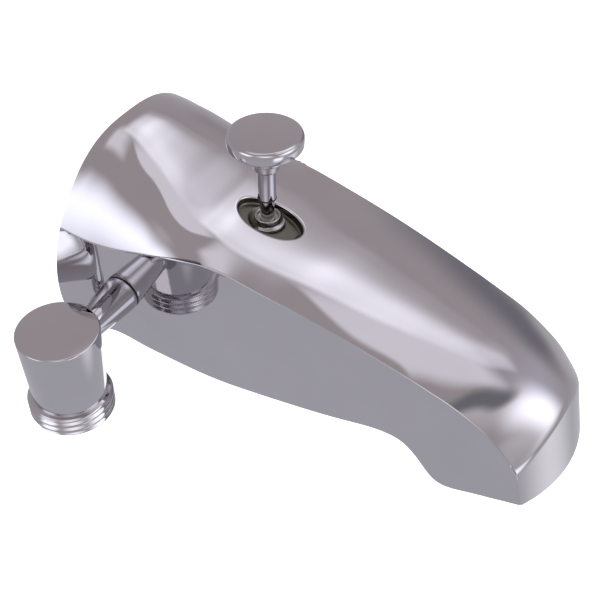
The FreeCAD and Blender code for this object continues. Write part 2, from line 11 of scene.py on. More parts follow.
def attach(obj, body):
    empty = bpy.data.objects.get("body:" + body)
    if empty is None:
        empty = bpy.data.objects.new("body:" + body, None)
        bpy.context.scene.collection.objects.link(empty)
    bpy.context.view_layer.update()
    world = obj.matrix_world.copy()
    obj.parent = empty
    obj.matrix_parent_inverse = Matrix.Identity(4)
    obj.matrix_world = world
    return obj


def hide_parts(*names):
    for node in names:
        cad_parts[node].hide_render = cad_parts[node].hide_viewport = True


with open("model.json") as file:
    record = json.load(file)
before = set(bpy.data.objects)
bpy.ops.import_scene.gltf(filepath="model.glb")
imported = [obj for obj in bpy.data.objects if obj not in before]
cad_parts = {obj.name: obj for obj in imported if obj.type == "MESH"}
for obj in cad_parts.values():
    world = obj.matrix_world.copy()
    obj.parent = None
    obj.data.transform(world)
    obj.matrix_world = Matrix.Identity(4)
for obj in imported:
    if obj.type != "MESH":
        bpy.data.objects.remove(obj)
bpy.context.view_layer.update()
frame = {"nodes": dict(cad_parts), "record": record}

MM = 0.001

# Sizes of the spout in millimetres, the same as the solids' own
HALF, TAPER = 23.9, 0.05167           # half width of the body at the wall, and its loss per millimetre
RIM, FLARE, SWEEP = 32.8, 8.0, 2.4    # radius of the wall end, and length and power of its sweep inwards
NOSE, BOW = 124.6, 5.3                # length to the middle of the nose, and how far its front bows out
CORNER = NOSE - BOW
LEDGE = 0.5                           # from the top's edge down to the flat side
LIFT = 40.6                           # length at the lift rod
FALL_FROM, FALL_OVER = 0.55, 0.45     # where the left edge starts to fall, as a share, and what is left

# Columns of the sections, after the length: half width and level of the top's edge, level of the ridge,
# roundness of the top, level of the lower corner, depth of the belly, and fall of the left edge
EDGE_X, EDGE_Z, RIDGE_Z, ROUND, LOW_Z, BELLY, FALL = range(1, 8)
SECTIONS = np.array([
    (0.0, 28.9, 15.6, 32.8, 2.7, -22.3, 10.4, 0.0),
    (3.0, 28.8, 15.0, 32.5, 2.8, -20.6, 9.0, 0.0),
    (6.0, 28.6, 14.6, 31.8, 2.9, -19.9, 8.0, 0.0),
    (10.0, 28.2, 14.3, 30.4, 3.2, -19.9, 6.5, 0.0),
    (16.0, 27.3, 14.6, 27.7, 3.6, -20.9, 5.0, 0.0),
    (23.0, 25.8, 15.3, 24.3, 4.4, -21.6, 3.5, 0.3),
    (31.0, 24.0, 15.9, 20.2, 4.6, -22.2, 2.5, 0.7),
    (40.0, 22.2, 16.2, 17.9, 3.4, -22.2, 2.0, 0.9),
    (50.0, 21.7, 14.7, 16.3, 3.0, -21.2, 1.6, 0.8),
    (62.0, 21.1, 12.7, 14.6, 2.8, -19.6, 1.3, 0.5),
    (75.0, 20.4, 9.85, 12.0, 2.7, -17.3, 1.1, 0.25),
    (86.0, 19.8, 6.9, 9.6, 2.6, -15.7, 0.9, 0.1),
    (90.0, 19.6, 5.8, 8.7, 2.5, -16.7, 0.7, 0.0),
    (94.0, 19.4, 4.5, 7.8, 2.5, -20.2, 0.5, 0.0),
    (98.0, 19.2, 3.2, 6.9, 2.4, -24.7, 0.4, 0.0),
    (102.0, 19.0, 1.6, 5.9, 2.4, -25.8, 0.3, 0.0),
    (107.0, 18.7, -1.2, 4.5, 2.3, -24.6, 0.3, 0.0),
    (112.0, 18.4, -4.9, 2.6, 2.3, -23.3, 0.3, 0.0),
    (117.0, 18.2, -10.9, -0.2, 2.2, -22.0, 0.3, 0.0),
    (122.0, 17.9, -16.6, -4.4, 2.1, -20.8, 0.3, 0.0),
    (127.0, 17.6, -20.6, -10.6, 2.0, -19.7, 0.3, 0.0),
])


def spline(knots, values, at):
    """Natural cubic spline: on [k, k+1] with step d and u from 0 to 1,
    y = (1-u) y0 + u y1 + d^2/6 (((1-u)^3-(1-u)) m0 + (u^3-u) m1)."""
    n = len(knots)
    step = np.diff(knots)
    a = np.zeros((n, n))
    b = np.zeros(n)
    a[0, 0] = a[-1, -1] = 1.0
    for i in range(1, n - 1):
        a[i, i - 1], a[i, i], a[i, i + 1] = step[i - 1], 2 * (step[i - 1] + step[i]), step[i]
        b[i] = 6 * ((values[i + 1] - values[i]) / step[i] - (values[i] - values[i - 1]) / step[i - 1])
    m = np.linalg.solve(a, b)
    at = np.asarray(at, float)
    k = np.clip(np.searchsorted(knots, at) - 1, 0, n - 2)
    d = step[k]
    u = (at - knots[k]) / d
    w = 1 - u
    return w * values[k] + u * values[k + 1] + d * d / 6 * ((w**3 - w) * m[k] + (u**3 - u) * m[k + 1])


def column(index, s):
    """One column of the sections at length s."""
    return spline(SECTIONS[:, 0], SECTIONS[:, index], s)


def half_at(s):
    """Half width of the body: half - taper s."""
    return HALF - TAPER * np.maximum(s, 0)


def crown(x, s):
    """Level of the top, share = |x / half width|, with the fall on the left side only:
    z = edge + fall + (ridge - edge - fall)(1 - share^roundness) - fall max(0, (share - from) / over)^2."""
    edge, ridge, power = column(EDGE_Z, s) + column(FALL, s), column(RIDGE_Z, s), column(ROUND, s)
    fall = np.where(np.asarray(x) < 0, column(FALL, s), 0.0)
    share = np.minimum(np.abs(x) / column(EDGE_X, s), 1.0)
    drop = fall * np.maximum((share - FALL_FROM) / FALL_OVER, 0) ** 2
    return edge + (ridge - edge) * (1 - share**power) - drop


def side_x(z, s):
    """Half width of the flat side; near the wall it sweeps out to the round rim:
    x = half + (sqrt(R^2 - z^2) - half) (1 - s / flare)^sweep."""
    fade = np.maximum(0, 1 - np.maximum(s, 0) / FLARE) ** SWEEP
    round_x = np.sqrt(np.maximum(RIM * RIM - z * z, 1.0))
    return half_at(s) + (round_x - half_at(s)) * fade


CORNER_HALF = float(half_at(CORNER))
BOW_R = (CORNER_HALF**2 + BOW**2) / (2 * BOW)


def bow(x):
    """Length of the nose's front at x: an arc, s = s0 + sqrt(R^2 - x^2)."""
    return NOSE - BOW_R + np.sqrt(BOW_R**2 - np.minimum(np.abs(x), CORNER_HALF) ** 2)


def to_metres(x, s, z):
    """Width, length and level in millimetres to a point of the frame: (x, -s, z) / 1000."""
    return np.stack([np.asarray(x, float), -np.asarray(s, float), np.asarray(z, float)], -1) * MM


WELD = 2e-6


class Pile:
    """Vertices and quads of one mesh, gathered patch by patch."""

    def __init__(self):
        self.v, self.f, self.n = [], [], 0

    def grid(self, points, flip=False, closed=False, skip=None):
        """Quads between rows and columns of points. Closed joins the last column to the first."""
        rows, cols = points.shape[:2]
        index = self.n + np.arange(rows * cols).reshape(rows, cols)
        self.v.append(points.reshape(-1, 3))
        self.n += rows * cols
        if closed:
            index = np.concatenate([index, index[:, :1]], 1)
        a, b = index[:-1, :-1], index[:-1, 1:]
        c, d = index[1:, 1:], index[1:, :-1]
        quads = np.stack([a, b, c, d] if not flip else [a, d, c, b], -1)
        if skip is not None:
            quads = quads[~skip]
        self.f.append(quads.reshape(-1, 4))

    def mesh(self, name):
        """One smooth mesh object, with points that meet welded."""
        verts = np.concatenate(self.v)
        faces = np.concatenate(self.f)
        data = bpy.data.meshes.new(name)
        data.from_pydata(verts.tolist(), [], faces.tolist())
        data.update()
        bm = bmesh.new()
        bm.from_mesh(data)
        bmesh.ops.remove_doubles(bm, verts=bm.verts, dist=WELD)
        bm.to_mesh(data)
        bm.free()
        data.polygons.foreach_set("use_smooth", [True] * len(data.polygons))
        obj = bpy.data.objects.new(name, data)
        bpy.context.scene.collection.objects.link(obj)
        return obj


# Outer skin of the cast shell
FOLD = 1.1          # rounding where the top turns down into the front
EDGE = 0.35         # rounding of the top's edge
SOLE = 0.6          # rounding of the lower corners
UPRIGHT = 0.8       # rounding of the front's upright corners
UPRIGHT_IN = 0.37   # how far inward that rounding ends
ARC, ARC_SINE = 57.5, 0.843   # how far round it goes in degrees, and the sine of that
LEAN, LEAN_FROM = 0.21, -20.7   # slope of the front, and the level where it is the bow itself
STRAIGHT = 100.0    # up to here the rows are straight across
A_ROWS = np.linspace(0, STRAIGHT, 201)
DROP = np.linspace(0, 1, 60)[1:]    # steps of the rows from there to the front
XI = np.sin(np.linspace(-math.pi / 2, math.pi / 2, 125))    # columns as shares of the half width
RECESS_ROWS = (58, 110)     # rows and columns left open round the recess
RECESS_COLS = (42, 76)


def bend(p, q, r, count):
    """Rounded corner: quadratic curve from p to r whose corner is q."""
    t = np.linspace(0, 1, count)
    return [(1 - u) ** 2 * p + 2 * u * (1 - u) * q + u * u * r for u in t]


def front(x, z):
    """Length of the leaning front face: s = bow(x) - lean (z - foot level)."""
    return bow(x) - LEAN * (z - LEAN_FROM)


def top_end():
    """Where each column of the top meets the front: s = front(x, crown(x, s)), by repetition."""
    s = np.full(len(XI), CORNER - 2)
    for _ in range(60):
        x = (column(EDGE_X, s) - EDGE) * XI
        s = 0.5 * s + 0.5 * front(x, crown(x, s))
    return s


def top_patch(pile):
    """Rows along the spout and columns across it: the top, a rounded fold and the leaning front."""
    grid_s = np.repeat(A_ROWS[:, None], len(XI), 1)
    grid_x = (column(EDGE_X, A_ROWS)[:, None] - EDGE) * XI[None]
    straight = to_metres(grid_x, grid_s, crown(grid_x, grid_s))
    end = top_end()
    s = STRAIGHT + (end[None] - FOLD - STRAIGHT) * DROP[:, None]
    x = (column(EDGE_X, s) - EDGE) * XI[None]
    dome = to_metres(x, s, crown(x, s))
    x_end = (column(EDGE_X, end) - EDGE) * XI
    before = np.stack([end - FOLD, crown(x[-1], end - FOLD)], -1)
    fold = np.stack([end, crown(x_end, end)], -1)
    after = fold + np.array([LEAN, -1.0]) * FOLD
    turn = bend(before, fold, after, 10)[1:]
    last_x = x[-1]
    turned_down = np.stack([to_metres(last_x + (x_end - last_x) * k / len(turn), p[:, 0], p[:, 1])
                            for k, p in enumerate(turn, 1)])
    foot_x = XI * (CORNER_HALF - UPRIGHT_IN)
    foot = column(LOW_Z, bow(foot_x)) - column(BELLY, bow(foot_x)) * (1 - XI**2)
    v = np.linspace(0, 1, 18)[1:, None]
    z = after[None, :, 1] + (foot - after[:, 1])[None] * v
    x = foot_x[None] + (x_end - foot_x)[None] * (1 - v) ** 2
    gap = after[:, 0] - front(x_end, after[:, 1])
    face = to_metres(x, front(x, z) + gap[None] * (1 - v) ** 4, z)
    rows = np.concatenate([straight, dome, turned_down, face])
    hole = np.zeros((len(rows) - 1, len(XI) - 1), bool)
    hole[RECESS_ROWS[0]:RECESS_ROWS[1], RECESS_COLS[0]:RECESS_COLS[1]] = True
    pile.grid(rows, flip=True, skip=hole)
    start = len(straight) + len(dome) - 1
    return grid_x, grid_s, {-1: rows[start:, 0], 1: rows[start:, -1]}


# Recess: middle, half width and half length of its oval, level and slope of its floor
RECESS = dict(x=-0.9, s=41.6, wide=5.3, long=8.7, floor=15.6, tilt=math.tan(math.radians(12)))
RECESS_SOFT = 0.4    # rounding of its rim
RECESS_FOOT = 0.5    # rounding round its floor
RECESS_DEEP = 1.8    # about how far its rim lies above its floor
RECESS_DRAFT = 0.1   # how far its wall leans in towards the floor
BUSH_HOLE = 4.55     # radius where the floor meets the bush


def recess_patch(pile, inner, grid_x, grid_s):
    """Rings from the rectangle left open in the top, in to the oval, over its rounded rim,
    down the wall, round the foot and across the tilted floor to the bush."""
    r0, r1 = RECESS_ROWS
    c0, c1 = RECESS_COLS
    ring = [(r0, c) for c in range(c0, c1)] + [(r, c1) for r in range(r0, r1)]
    ring += [(r1, c) for c in range(c1, c0, -1)] + [(r, c0) for r in range(r1, r0, -1)]
    px = np.array([grid_x[i] for i in ring])
    ps = np.array([grid_s[i] for i in ring])
    wide, long = RECESS["wide"], RECESS["long"]
    turn = np.arctan2((ps - RECESS["s"]) / long, (px - RECESS["x"]) / wide)
    oval_x, oval_s = wide * np.cos(turn), long * np.sin(turn)
    nx, ns = np.cos(turn) / wide, np.sin(turn) / long
    norm = np.hypot(nx, ns)
    nx, ns = nx / norm, ns / norm
    lean = RECESS["tilt"]

    def oval(out, lift):
        return RECESS["x"] + oval_x + nx * out, RECESS["s"] + oval_s + ns * out + lean * lift

    def floor(s):
        return RECESS["floor"] - lean * (s - RECESS["s"])

    soft, deep, foot_soft, draft = RECESS_SOFT, RECESS_DEEP, RECESS_FOOT, RECESS_DRAFT
    rings = []
    rim_x, rim_s = oval(soft, deep)
    for t in np.linspace(0, 1, 16) ** 0.7:
        x, s = px + (rim_x - px) * t, ps + (rim_s - ps) * t
        rings.append(to_metres(x, s, crown(x, s)))
    for phi in np.radians(np.linspace(0, 90, 8))[1:]:
        x, s = oval(soft * (1 - math.sin(phi)), deep)
        rings.append(to_metres(x, s, crown(rim_x, rim_s) - soft * (1 - math.cos(phi))))
    rim_rings = len(rings)
    wall_x, wall_s = oval(0.0, deep)
    top = crown(rim_x, rim_s) - soft
    low_x, low_s = oval(-draft, foot_soft)
    foot = floor(low_s) + foot_soft
    for t in np.linspace(0, 1, 5)[1:]:
        x, s = wall_x + (low_x - wall_x) * t, wall_s + (low_s - wall_s) * t
        rings.append(to_metres(x, s, top + (foot - top) * t))
    for phi in np.radians(np.linspace(0, 90, 7))[1:]:
        x, s = oval(-draft - foot_soft * (1 - math.cos(phi)), foot_soft)
        rings.append(to_metres(x, s, floor(s) + foot_soft * (1 - math.sin(phi))))
    in_x, in_s = oval(-0.6, 0.3)
    around = np.arctan2(in_s - LIFT, in_x)
    hole_x, hole_s = BUSH_HOLE * np.cos(around), LIFT + BUSH_HOLE * np.sin(around)
    for t in np.linspace(0, 1, 6)[1:]:
        x, s = in_x + (hole_x - in_x) * t, in_s + (hole_s - in_s) * t
        rings.append(to_metres(x, s, floor(s)))
    bed = np.minimum(floor(hole_s), 16.0)
    rings.append(to_metres(hole_x * 0.995, LIFT + (hole_s - LIFT) * 0.995, bed))
    rings.append(to_metres(hole_x * 0.7, LIFT + (hole_s - LIFT) * 0.7, bed))
    pile.grid(np.array(rings[:rim_rings]), flip=True, closed=True)
    inner.grid(np.array(rings[rim_rings - 1:]), flip=True, closed=True)


def side_points(rows, sign):
    """Section points at each length: rounded edge of the top, small ledge, fillet, flat side, corner."""
    edge_x, edge_z = column(EDGE_X, rows), column(EDGE_Z, rows) + (column(FALL, rows) if sign > 0 else 0.0)
    start_x = edge_x - EDGE
    start = np.stack([start_x, crown(sign * start_x, rows)], -1)
    corner = np.stack([edge_x, edge_z], -1)
    low_z = column(LOW_Z, rows)
    top_z = edge_z - LEDGE
    foot = np.stack([side_x(top_z, rows), top_z], -1)
    along = foot - corner
    length = np.linalg.norm(along, axis=1, keepdims=True)
    along = along / np.maximum(length, 1e-6)
    near = np.minimum(0.3, 0.4 * length)
    points = bend(start, corner, corner + along * near, 7)
    inner = foot - along * near
    points.append(inner)
    after_z = top_z - np.minimum(0.5, 0.2 * (top_z - low_z))
    after = np.stack([side_x(after_z, rows), after_z], -1)
    points += bend(inner, foot, after, 6)[1:]
    for t in np.linspace(0, 1, 26)[1:]:
        z = after_z + (low_z + SOLE - after_z) * t
        points.append(np.stack([side_x(z, rows), z], -1))
    sole = np.stack([side_x(low_z, rows), low_z], -1)
    slope = 2 * column(BELLY, rows) / sole[:, 0]
    points += bend(points[-1], sole, sole - np.stack([np.full(len(rows), SOLE), SOLE * slope], -1), 6)[1:]
    return points


def side_patch(pile, sign, front_edge):
    """Lengths by columns; past the straight part each column is stretched to end on the leaning front.
    A ruled strip joins the ends, level by level, to the edge of the front."""
    columns = []
    for k in range(len(side_points(A_ROWS[:2], sign))):
        last = CORNER - 2
        for _ in range(30):
            ahead = last + ARC_SINE * UPRIGHT
            z = side_points(np.array([ahead]), sign)[k][0, 1]
            below = np.clip((column(EDGE_Z, ahead) - z) / FOLD, 0, 1)
            back = FOLD * (1 - math.sqrt(below)) ** 2
            last = 0.5 * last + 0.5 * (front(CORNER_HALF - UPRIGHT_IN, z) - ARC_SINE * UPRIGHT - back)
        rows = np.concatenate([A_ROWS, STRAIGHT + (last - STRAIGHT) * DROP])
        point = side_points(rows, sign)[k]
        turn = np.radians(np.linspace(0, ARC, 7))[1:]
        x = np.concatenate([point[:, 0], point[-1, 0] - UPRIGHT * (1 - np.cos(turn))])
        s = np.concatenate([rows, rows[-1] + UPRIGHT * np.sin(turn)])
        slope = (z - point[-1, 1]) / (ARC_SINE * UPRIGHT)
        z = np.concatenate([point[:, 1], point[-1, 1] + slope * (s[len(rows):] - rows[-1])])
        columns.append(to_metres(x * sign, s, z))
    grid = np.stack(columns, 1)
    pile.grid(grid, flip=sign > 0)
    ends = grid[-1, :-7]
    high, low = min(ends[0, 2], front_edge[0, 2]), max(ends[-1, 2], front_edge[-1, 2])
    levels = np.linspace(high, low, 80)
    strip = [[[np.interp(-z, -line[:, 2], line[:, 0]), np.interp(-z, -line[:, 2], line[:, 1]), z]
              for line in (ends, front_edge)] for z in levels]
    pile.grid(np.array(strip), flip=sign < 0)


def under_patch(pile):
    """Belly: z = lower corner - depth (1 - share^2), from the wall to the mouth."""
    low, depth = column(LOW_Z, A_ROWS), column(BELLY, A_ROWS)
    foot = side_x(low, A_ROWS)
    share = np.linspace(-1, 1, 41)[None] * (1 - SOLE / foot[:, None])
    x = foot[:, None] * share
    z = low[:, None] - depth[:, None] * (1 - share**2)
    pile.grid(to_metres(x, np.repeat(A_ROWS[:, None], x.shape[1], 1), z))


# What tells the faces of the solid that the skins replace from its inside
NOSE_HEART = Vector((0, -108 * MM, -14 * MM))    # a point inside the nose
NOSE_FROM = 99.0        # length where the nose starts
NEAR = 1.5              # how near a skin such a face lies
RECESS_ABOVE = 14.2     # level above which all in the recess's oval goes
CORNER_X, CORNER_DEEP = 14.0, 3.0    # the top's edges: from this half width, and down to this depth
INSET, INSET_FROM = 0.8, 60.0        # how far inside the sides the rims stay, and from which length
FRONT_INSET = 0.6       # how far behind the front they stay


def within_skin(face, tree):
    """True for a face of the solid that goes: the outside of the nose, all in the recess's oval, what
    looks away from the axis at the top's edges (with the small shelf inside them), and all else near
    a skin that looks the same way. The rims stay."""
    middle, normal = face.calc_center_median(), face.normal
    _, skin_normal, _, away = tree.find_nearest(middle)
    nose = middle.y < -NOSE_FROM * MM
    if nose and normal.z < -0.5 or middle.y > -0.02 * MM:
        return False
    if nose and normal.dot(middle - NOSE_HEART) > 0:
        return True
    across = (middle.x / MM - RECESS["x"]) / (RECESS["wide"] + 1.0)
    ahead = (-middle.y / MM - RECESS["s"]) / (RECESS["long"] + 1.0)
    if across**2 + ahead**2 < 1 and middle.z > RECESS_ABOVE * MM:
        return True
    edge_level = float(column(EDGE_Z, -middle.y / MM))
    at_edge = abs(middle.x) > CORNER_X * MM and middle.z > (edge_level - CORNER_DEEP) * MM
    outward = normal.x * middle.x + normal.z * middle.z > 0
    return away < NEAR * MM and (at_edge and outward or normal.dot(skin_normal) > 0.4)


def cast_inside(name, *skins):
    """The solid's own inside faces and rims: a merged copy of it less the faces that go, with the
    rims kept inside the skins."""
    data = frame["nodes"][name].data.copy()
    points, faces = [], []
    for skin in skins:
        faces += [[k + len(points) for k in p.vertices] for p in skin.data.polygons]
        points += [v.co for v in skin.data.vertices]
    tree = BVHTree.FromPolygons(points, faces)
    bm = bmesh.new()
    bm.from_mesh(data)
    bmesh.ops.remove_doubles(bm, verts=bm.verts, dist=1e-6)
    gone = [face for face in bm.faces if within_skin(face, tree)]
    bmesh.ops.delete(bm, geom=gone, context="FACES")
    for vert in bm.verts:
        limit = (float(half_at(-vert.co.y / MM)) - INSET) * MM
        if vert.co.y < -INSET_FROM * MM and abs(vert.co.x) > limit:
            vert.co.x = math.copysign(limit, vert.co.x)
        reach = -float(front(vert.co.x / MM, vert.co.z / MM) - FRONT_INSET) * MM
        vert.co.y = max(vert.co.y, reach)
    bm.to_mesh(data)
    bm.free()
    data.name = name + "_inside"
    obj = bpy.data.objects.new(name + "_inside", data)
    bpy.context.scene.collection.objects.link(obj)
    return obj


shell_pile, recess_pile = Pile(), Pile()
grid_x, grid_s, front_edges = top_patch(shell_pile)
recess_patch(shell_pile, recess_pile, grid_x, grid_s)
for sign in (1, -1):
    side_patch(shell_pile, sign, front_edges[sign])
under_patch(shell_pile)
shell_skin = shell_pile.mesh("shell_skin")
recess_skin = recess_pile.mesh("recess_skin")
shell_inside = cast_inside("spout_shell", shell_skin, recess_skin)


# Turned pieces
AROUND = 128    # points round each


def rounded(corners):
    """Profile of straight runs with a rounding at each corner: (radius, level, rounding)."""
    out = []
    for k, (r, z, soft) in enumerate(corners):
        p = np.array([r, z], float)
        if soft <= 0 or k in (0, len(corners) - 1):
            out.append(p)
            continue
        a = np.array(corners[k - 1][:2], float) - p
        b = np.array(corners[k + 1][:2], float) - p
        la, lb = np.linalg.norm(a), np.linalg.norm(b)
        soft_a, soft_b = min(soft, la * 0.49), min(soft, lb * 0.49)
        out += bend(p + a / la * soft_a, p, p + b / lb * soft_b, 5)
    return np.array(out)


def turned(name, profile, origin, axis=(0, 0, 1), pile=None):
    """Surface of revolution: (r cos a, r sin a, z) about an axis through the origin given in mm.
    It goes into the pile where one is given, and else becomes an object of its own."""
    own = pile is None
    pile = pile or Pile()
    axis = np.array(axis, float) / np.linalg.norm(axis)
    helper = np.array([0, 1.0, 0]) if abs(axis[1]) < 0.9 else np.array([1.0, 0, 0])
    u = np.cross(helper, axis)
    u /= np.linalg.norm(u)
    v = np.cross(axis, u)
    angle = np.linspace(0, 2 * math.pi, AROUND, endpoint=False)
    ring = np.cos(angle)[:, None] * u + np.sin(angle)[:, None] * v
    radius, level = profile[:, 0][:, None, None], profile[:, 1][:, None, None]
    points = np.array(origin) + level * axis + radius * ring[None]
    pile.grid(points * MM, closed=True, flip=True)
    return pile.mesh(name) if own else None


# Pieces on the rod's axis, by radius, level and rounding: knob, rod, ring and bush
ROD = (0.0, -LIFT, 0.0)
knob_skin = turned("knob_skin", rounded([
    (0.001, 41.0, 0), (9.0, 41.0, 1.2), (9.0, 38.0, 0.4), (4.9, 36.6, 0.4), (4.7, 34.2, 0.3),
    (3.5, 33.6, 0.3), (3.1, 31.4, 0.3), (2.2, 30.8, 0.3), (2.2, 22.9, 0.15), (1.7, 22.9, 0),
]), ROD)
rod_skin = turned("rod_skin", rounded([(1.75, 34.0, 0), (1.75, -8.0, 0.1), (0.001, -8.0, 0)]), ROD)
ring_skin = turned("ring_skin", rounded([
    (1.75, 22.9, 0), (2.3, 22.9, 0.12), (2.3, 22.6, 0.12), (1.75, 22.6, 0),
]), ROD)
bush_skin = turned("bush_skin", rounded([
    (1.8, 10.0, 0), (1.8, 16.4, 0.1), (2.5, 16.6, 0.2), (2.8, 17.5, 0.2), (3.15, 17.5, 0.2),
    (3.5, 15.9, 0.3), (4.3, 15.8, 0.2), (4.3, 15.2, 0.1), (3.9, 15.2, 0.1), (3.9, 10.0, 0.1), (1.8, 10.0, 0),
]), ROD)

# Side outlet: cup, thread and arm, with the arm square to the tapering side
REACH, OUT_S, ARM_Z = 47.24, 12.82, -4.07    # its axis: reach to the left, length, and the arm's level
DRAFT = math.atan(TAPER)
ARM_DIR = (math.cos(DRAFT), math.sin(DRAFT), 0.0)
ARM = (-REACH, -OUT_S, ARM_Z)
CUP = (-REACH, -OUT_S, 0.0)
THREAD_TOP, THREAD_LOW = -16.8, -22.3
THREAD_ROOT, THREAD_CREST, PITCH = 9.8, 10.48, 1.81


def thread_surface(pile, origin, top, low, root, crest, pitch):
    """Helical ridges: r = root + (crest - root) w(z / pitch - angle / 2 pi), w a rounded wave."""
    angle = np.linspace(0, 2 * math.pi, 160, endpoint=False)
    z = np.linspace(top, low, 90)
    zz, aa = np.meshgrid(z, angle, indexing="ij")
    wave = (0.5 + 0.5 * np.cos(2 * math.pi * (zz / pitch - aa / (2 * math.pi)))) ** 0.8
    ends = np.clip((top - zz) / 0.5, 0, 1) * np.clip((zz - low) / 0.2, 0, 1)
    r = root + (crest - root) * wave * ends
    points = np.stack([origin[0] + r * np.cos(aa), origin[1] + r * np.sin(aa), zz], -1)
    pile.grid(points * MM, closed=True, flip=True)


outlet_pile = Pile()
turned("", rounded([
    (0.001, 3.44, 0), (10.0, 3.44, 0.45), (9.15, -16.3, 0.25), (9.0, -16.6, 0.2), (9.9, THREAD_TOP, 0),
]), CUP, pile=outlet_pile)
thread_surface(outlet_pile, CUP, THREAD_TOP, THREAD_LOW, THREAD_ROOT, THREAD_CREST, PITCH)
turned("", rounded([
    (THREAD_ROOT, THREAD_LOW, 0), (9.6, -22.5, 0.2), (7.4, -22.5, 0.2), (7.2, -22.2, 0.2),
    (7.2, -0.6, 0.3), (0.001, -0.6, 0),
]), CUP, pile=outlet_pile)
turned("", rounded([
    (2.2, 23.7, 0), (4.9, 23.7, 0.25), (4.9, 22.5, 0.3), (3.3, 7.0, 0.2), (3.3, 5.0, 0),
]), ARM, ARM_DIR, pile=outlet_pile)
outlet_skin = outlet_pile.mesh("outlet_skin")
gasket_skin = turned("gasket_skin", rounded([
    (3.5, 23.95, 0), (4.8, 23.95, 0.05), (4.8, 23.7, 0.05), (3.5, 23.7, 0),
]), ARM, ARM_DIR)


# Materials
def to_linear(text):
    """sRGB hex to linear RGB: c / 12.92 below 0.04045, else ((c + 0.055) / 1.055)^2.4."""
    parts = [int(text[k:k + 2], 16) / 255 for k in (0, 2, 4)]
    return [c / 12.92 if c <= 0.04045 else ((c + 0.055) / 1.055) ** 2.4 for c in parts] + [1.0]


def add(tree, kind, inputs=None, **props):
    """One node, with its settings, and each input linked to a socket or set to a value."""
    node = tree.nodes.new(kind)
    for key, value in props.items():
        setattr(node, key, value)
    for key, value in (inputs or {}).items():
        if isinstance(value, bpy.types.NodeSocket):
            tree.links.new(value, node.inputs[key])
        else:
            node.inputs[key].default_value = value
    return node


def finish_material(name, dark, pale, metal, rough_low, rough_high, grain_mm, bump):
    """Base colour between two tones and roughness between two values, both by noise whose
    size is given in millimetres, with a fine bump where bump isn't 0."""
    mat = bpy.data.materials.new(name)
    mat.use_nodes = True
    tree = mat.node_tree
    shader = tree.nodes["Principled BSDF"]
    shader.inputs["Metallic"].default_value = metal
    coords = add(tree, "ShaderNodeTexCoord")
    mapping = add(tree, "ShaderNodeMapping", {"Vector": coords.outputs["Object"]})
    mapping.inputs["Scale"].default_value = (1000, 1000, 1000)
    noise = add(tree, "ShaderNodeTexNoise",
                {"Vector": mapping.outputs[0], "Scale": 1 / grain_mm, "Detail": 4.0})
    tone = add(tree, "ShaderNodeMix", {"Factor": noise.outputs["Fac"]}, data_type="RGBA")
    tone.inputs["A"].default_value = to_linear(dark)
    tone.inputs["B"].default_value = to_linear(pale)
    tree.links.new(tone.outputs["Result"], shader.inputs["Base Color"])
    fine = add(tree, "ShaderNodeTexNoise",
               {"Vector": mapping.outputs[0], "Scale": 3 / grain_mm, "Detail": 3.0})
    span = add(tree, "ShaderNodeMapRange",
               {"Value": fine.outputs["Fac"], "To Min": rough_low, "To Max": rough_high})
    tree.links.new(span.outputs[0], shader.inputs["Roughness"])
    if bump:
        relief = add(tree, "ShaderNodeBump",
                     {"Height": fine.outputs["Fac"], "Strength": bump, "Distance": 0.0001})
        tree.links.new(relief.outputs[0], shader.inputs["Normal"])
    return mat


# Bright decorative chrome over polished brass, with faint cloudiness in the polish
chrome = finish_material("polished_chrome", "bdbbc0", "c6c4c8", 1.0, 0.03, 0.06, 14.0, 0.0)
# Painted shade: dark, dull metal on the wall and floor of the recess
recess_painted_shade = finish_material("recess_painted_shade", "5c5a52", "6e6c64", 1.0, 0.25, 0.4, 3.0, 0.15)
# Plated but only machined
chrome_turned = finish_material("turned_chrome", "9a9896", "b4b2b0", 1.0, 0.12, 0.22, 1.5, 0.15)
# Unpolished casting with thin plating
cast = finish_material("cast_inside", "6f6d6b", "8d8b88", 1.0, 0.3, 0.5, 1.2, 0.5)
# Stainless rod, ground smooth
steel = finish_material("rod_steel", "b6b6ba", "c4c4c8", 1.0, 0.05, 0.1, 6.0, 0.0)
# Brass as it comes from the mould
brass_cast = finish_material("cast_brass", "9c7b3c", "b8924a", 1.0, 0.3, 0.5, 1.0, 0.5)
# Brass turned on a lathe
brass_turned = finish_material("turned_brass", "b8964a", "d0ae60", 1.0, 0.12, 0.22, 0.8, 0.1)
# Black nitrile rubber of the seals and gaskets
rubber = finish_material("black_rubber", "141414", "202020", 0.0, 0.5, 0.7, 0.8, 0.2)


def dress(obj, mat, slot, body=None, *nodes):
    """Give a piece its material and, where a body is named, its body and replaced nodes. The slot is not
    used.
    """
    obj.data.materials.clear()
    obj.data.materials.append(mat)
    if body:
        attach(obj, body)
        if nodes:
            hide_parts(*nodes)


dress(shell_skin, chrome, "polished_chrome", "spout", "spout_shell")
# The recess's wall and floor take the painted shade
dress(recess_skin, recess_painted_shade, "polished_chrome", "spout")
dress(shell_inside, cast, "polished_chrome", "spout")
dress(outlet_skin, chrome, "polished_chrome", "spout", "outlet_elbow")
dress(gasket_skin, rubber, "black_rubber", "spout", "side_gasket")
dress(bush_skin, chrome_turned, "turned_chrome", "spout", "guide_bush")
dress(knob_skin, chrome, "polished_chrome", "diverter", "knob")
dress(rod_skin, steel, "rod_steel", "diverter", "lift_rod")
dress(ring_skin, rubber, "black_rubber", "diverter", "knob_ring")

# The photograph shows no mirror image of the knob on the top of the spout
for piece in (knob_skin, rod_skin, ring_skin):
    piece.visible_glossy = False

BY_SLOT = {"cast_brass": brass_cast, "turned_brass": brass_turned, "black_rubber": rubber,
           "rod_steel": steel, "polished_chrome": chrome, "turned_chrome": chrome_turned}
for part in frame["record"]["subparts"]:
    dress(frame["nodes"][part["node"]], BY_SLOT[part["material_slot"]], part["material_slot"])


